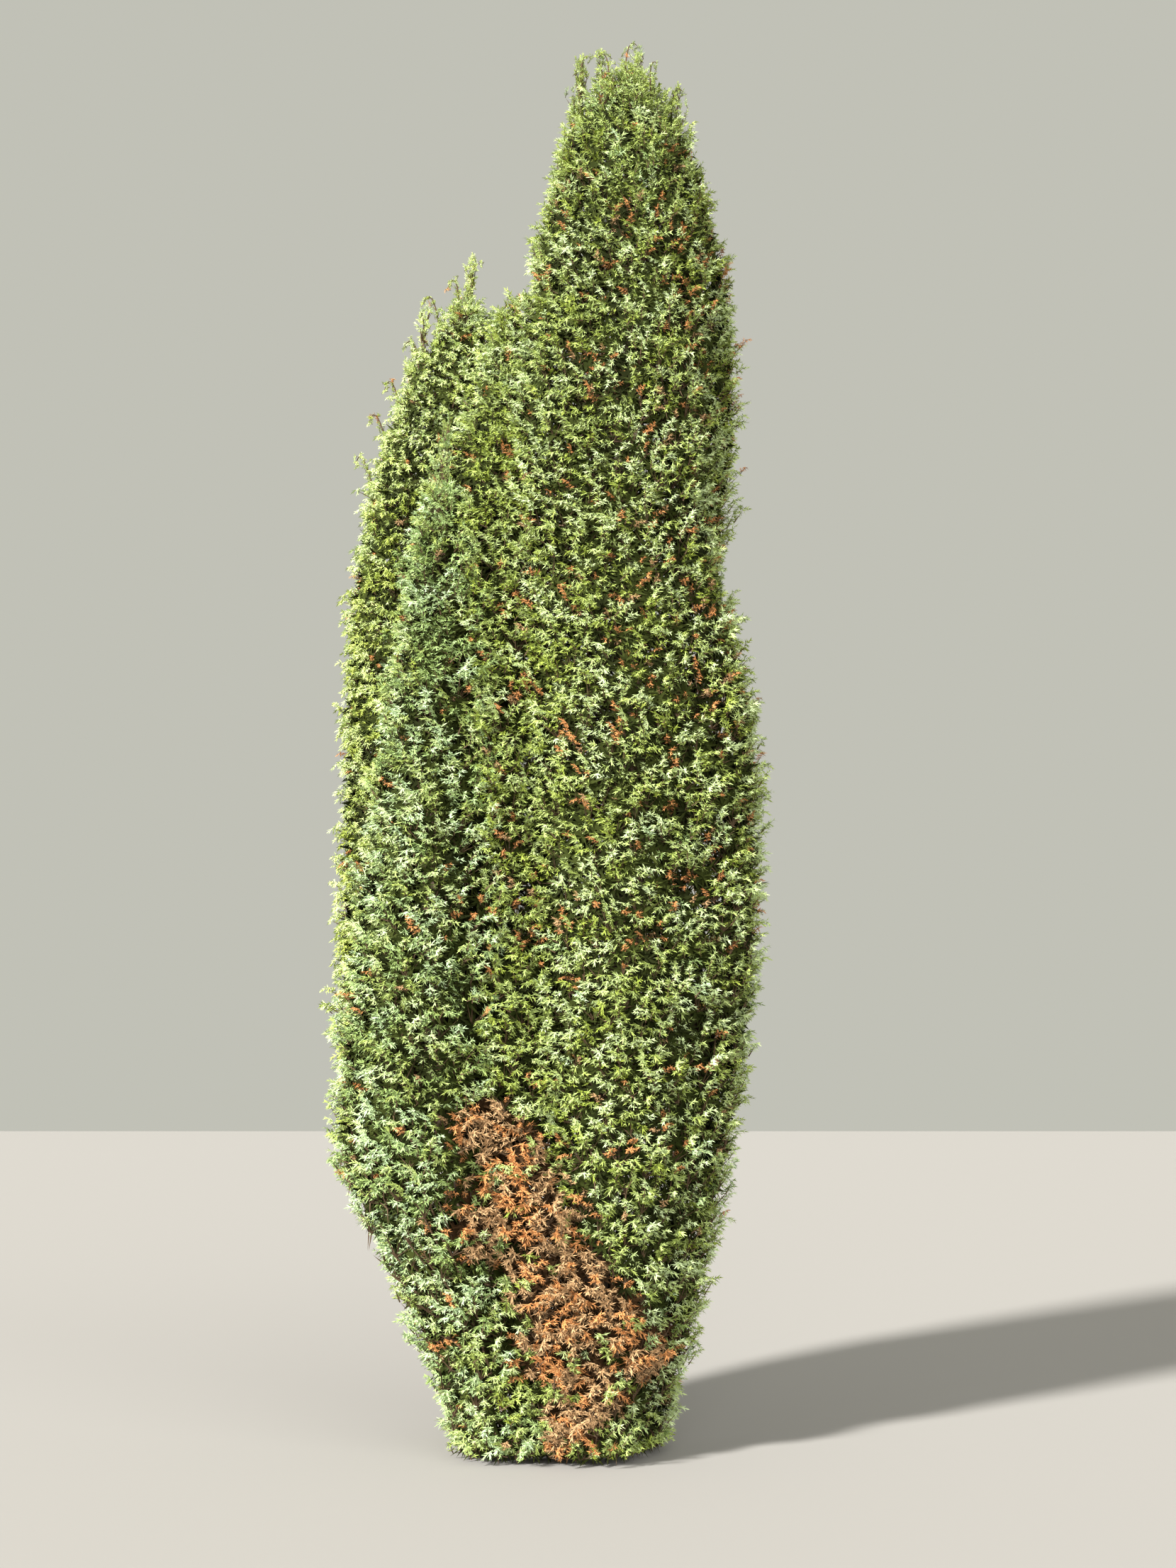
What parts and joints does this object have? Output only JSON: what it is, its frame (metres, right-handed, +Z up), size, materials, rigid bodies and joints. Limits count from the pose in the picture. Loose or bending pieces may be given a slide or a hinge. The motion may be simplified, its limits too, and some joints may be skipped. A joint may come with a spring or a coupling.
{
  "type": "columnar juniper",
  "caption": "Tall narrow evergreen clump: upright columns of short needled sprays round leaning stems that rise from one flared trunk foot.",
  "frame": {"origin": "middle of the flat cut under the trunk, at ground level", "axes": "+Z up, -Y towards the side that faces the picture's camera, +X to the right in the picture"},
  "size_m": [2.2236, 1.7128, 7.05],
  "materials": {
    "bark": "rough, fibrous bark",
    "needles_green": "matte mid-green needles",
    "needles_blue_green": "matte bluish grey-green needles",
    "needles_yellow_green": "matte yellow-green needles",
    "needles_dead": "matte dry brown needles"
  },
  "bodies": {
    "root": {"trunk": "bark", "stem_front_left": "bark", "stem_rear_left": "bark", "main_1_front": "needles_dead", "main_1_back_right": "needles_green", "main_1_left": "needles_green", "main_2_right": "needles_green", "main_2_back": "needles_green", "main_2_front_left": "needles_green", "main_3_front": "needles_green", "main_3_back_right": "needles_green", "main_3_left": "needles_green", "main_4_right": "needles_green", "main_4_back": "needles_green", "main_4_front_left": "needles_green", "main_5_front": "needles_green", "main_5_back_right": "needles_green", "main_5_left": "needles_green", "front_left_1_front": "needles_blue_green", "front_left_1_back": "needles_blue_green", "front_left_2_right": "needles_blue_green", "front_left_2_left": "needles_blue_green", "front_left_3_front": "needles_blue_green", "front_left_3_back": "needles_blue_green", "rear_left_1_left": "needles_yellow_green", "rear_left_1_right": "needles_yellow_green", "rear_left_2_front": "needles_yellow_green", "rear_left_2_back": "needles_yellow_green", "rear_left_3_left": "needles_yellow_green", "rear_left_3_right": "needles_yellow_green", "rear_left_4_front": "needles_yellow_green", "rear_left_4_back": "needles_yellow_green", "leader_left": "needles_green", "leader_thin": "needles_green", "leader_centre": "needles_green", "leader_right": "needles_green", "leader_back": "needles_green", "tip_front_left": "needles_blue_green", "tip_rear_left": "needles_yellow_green", "tip_rear_outer": "needles_yellow_green"}
  },
  "joints": []
}
